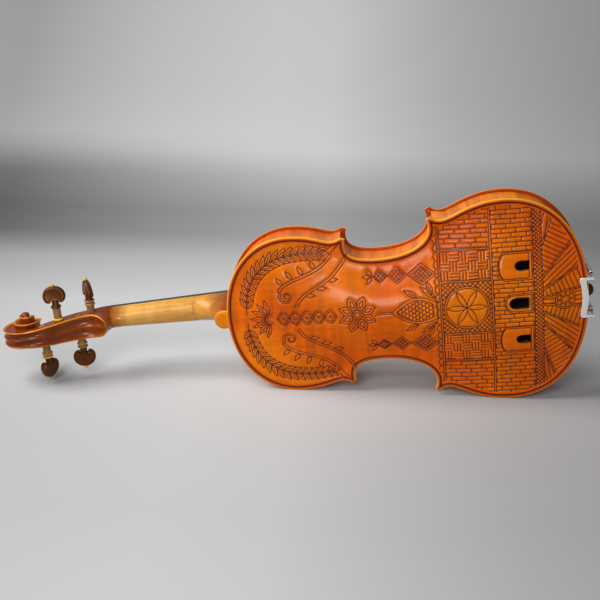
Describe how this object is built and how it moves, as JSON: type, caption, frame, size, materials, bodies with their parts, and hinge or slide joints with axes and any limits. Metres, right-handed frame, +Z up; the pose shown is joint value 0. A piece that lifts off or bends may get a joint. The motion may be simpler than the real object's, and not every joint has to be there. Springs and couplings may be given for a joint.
{
  "type": "carved violin",
  "caption": "Full-size violin with a carved back, round-headed pegs, one fine tuner and a clamped chin rest, resting on its treble edges.",
  "frame": {"origin": "centre of the footprint, on the floor that the treble edges of both bouts rest on", "axes": "+X from the scroll towards the tail, +Y from the back towards the strings, +Z up, from the treble side towards the bass side"},
  "size_m": [0.5928, 0.1024, 0.2085],
  "materials": {
    "back_maple": "carved maple under glossy amber to red-orange varnish",
    "top_spruce": "spruce with fine straight grain under glossy golden varnish",
    "rib_maple": "flamed maple under glossy red-orange varnish",
    "neck_maple": "satin golden maple, varnished red-brown at the head",
    "inner_spruce": "bare spruce and willow",
    "ebony": "black, semi-gloss",
    "bridge_maple": "bare maple",
    "rosewood": "dark brown, polished",
    "boxwood": "yellow, polished",
    "tail_cord": "black nylon cord",
    "string_metal": "wound metal string",
    "nickel": "satin nickel plate",
    "cork": "bare cork"
  },
  "bodies": {
    "violin": {"back_plate": "back_maple", "top_plate": "top_spruce", "rib_upper_bass": "rib_maple", "rib_upper_treble": "rib_maple", "rib_waist_bass": "rib_maple", "rib_waist_treble": "rib_maple", "rib_lower_bass": "rib_maple", "rib_lower_treble": "rib_maple", "neck": "neck_maple", "neck_block": "inner_spruce", "end_block": "inner_spruce", "bass_bar": "inner_spruce", "sound_post": "inner_spruce", "corner_block_upper_bass": "inner_spruce", "corner_block_upper_treble": "inner_spruce", "corner_block_lower_bass": "inner_spruce", "corner_block_lower_treble": "inner_spruce", "lining_upper_bass_back": "inner_spruce", "lining_upper_bass_top": "inner_spruce", "lining_upper_treble_back": "inner_spruce", "lining_upper_treble_top": "inner_spruce", "lining_waist_bass_back": "inner_spruce", "lining_waist_bass_top": "inner_spruce", "lining_waist_treble_back": "inner_spruce", "lining_waist_treble_top": "inner_spruce", "lining_lower_bass_back": "inner_spruce", "lining_lower_bass_top": "inner_spruce", "lining_lower_treble_back": "inner_spruce", "lining_lower_treble_top": "inner_spruce", "fingerboard": "ebony", "nut": "ebony", "saddle": "ebony", "bridge": "bridge_maple", "tailpiece": "rosewood", "end_button": "rosewood", "chin_rest": "rosewood", "tail_gut": "tail_cord", "string_g": "string_metal", "string_d": "string_metal", "string_a": "string_metal", "string_e": "string_metal", "tuner_body": "nickel", "clamp_bracket": "nickel", "rest_cork_bass": "cork", "rest_cork_treble": "cork"},
    "peg_g": {"peg_g": "rosewood", "peg_ring_g": "boxwood"},
    "peg_e": {"peg_e": "rosewood", "peg_ring_e": "boxwood"},
    "peg_d": {"peg_d": "rosewood", "peg_ring_d": "boxwood"},
    "peg_a": {"peg_a": "rosewood", "peg_ring_a": "boxwood"},
    "tuner_screw": {"tuner_screw": "nickel"},
    "tuner_lever": {"tuner_lever": "nickel"},
    "clamp_barrel_bass": {"clamp_barrel_bass": "nickel"},
    "clamp_barrel_treble": {"clamp_barrel_treble": "nickel"},
    "clamp_foot": {"clamp_foot": "nickel", "foot_cork": "cork"}
  },
  "joints": [
    {"name": "peg_g_turn", "type": "hinge", "parent": "violin", "child": "peg_g", "pos_m": [-0.20724, -0.0121, 0.05912], "axis": [-0.1078, 0, 0.9942], "continuous": true},
    {"name": "peg_e_turn", "type": "hinge", "parent": "violin", "child": "peg_e", "pos_m": [-0.22046, -0.0177, 0.05768], "axis": [-0.1078, 0, 0.9942], "continuous": true},
    {"name": "peg_d_turn", "type": "hinge", "parent": "violin", "child": "peg_d", "pos_m": [-0.23756, -0.0271, 0.05583], "axis": [-0.1078, 0, 0.9942], "continuous": true},
    {"name": "peg_a_turn", "type": "hinge", "parent": "violin", "child": "peg_a", "pos_m": [-0.25347, -0.03259, 0.0541], "axis": [-0.1078, 0, 0.9942], "continuous": true},
    {"name": "tuner_screw_turn", "type": "hinge", "parent": "violin", "child": "tuner_screw", "pos_m": [0.19786, 0.04774, 0.08846], "axis": [0, -1, 0], "range_deg": [0, 600]},
    {"name": "tuner_lever_tilt", "type": "hinge", "parent": "violin", "child": "tuner_lever", "pos_m": [0.18931, 0.04234, 0.08753], "axis": [0.1078, 0, -0.9942], "range_deg": [0, 5]},
    {"name": "clamp_barrel_bass_turn", "type": "hinge", "parent": "violin", "child": "clamp_barrel_bass", "pos_m": [0.28946, -0.00695, 0.13239], "axis": [0, -1, 0], "range_deg": [0, 1440]},
    {"name": "clamp_barrel_treble_turn", "type": "hinge", "parent": "violin", "child": "clamp_barrel_treble", "pos_m": [0.29362, -0.00695, 0.09402], "axis": [0, -1, 0], "range_deg": [0, 1440]},
    {"name": "clamp_foot_travel", "type": "slide", "parent": "violin", "child": "clamp_foot", "axis": [0, -1, 0], "range_m": [0, 0.006]}
  ],
  "couplings": [
    {"joint": "tuner_lever_tilt", "follows": "tuner_screw_turn", "ratio": 0.0083333},
    {"joint": "clamp_barrel_bass_turn", "follows": "clamp_foot_travel", "rad_per_m": 4188.8},
    {"joint": "clamp_barrel_treble_turn", "follows": "clamp_foot_travel", "rad_per_m": 4188.8}
  ]
}
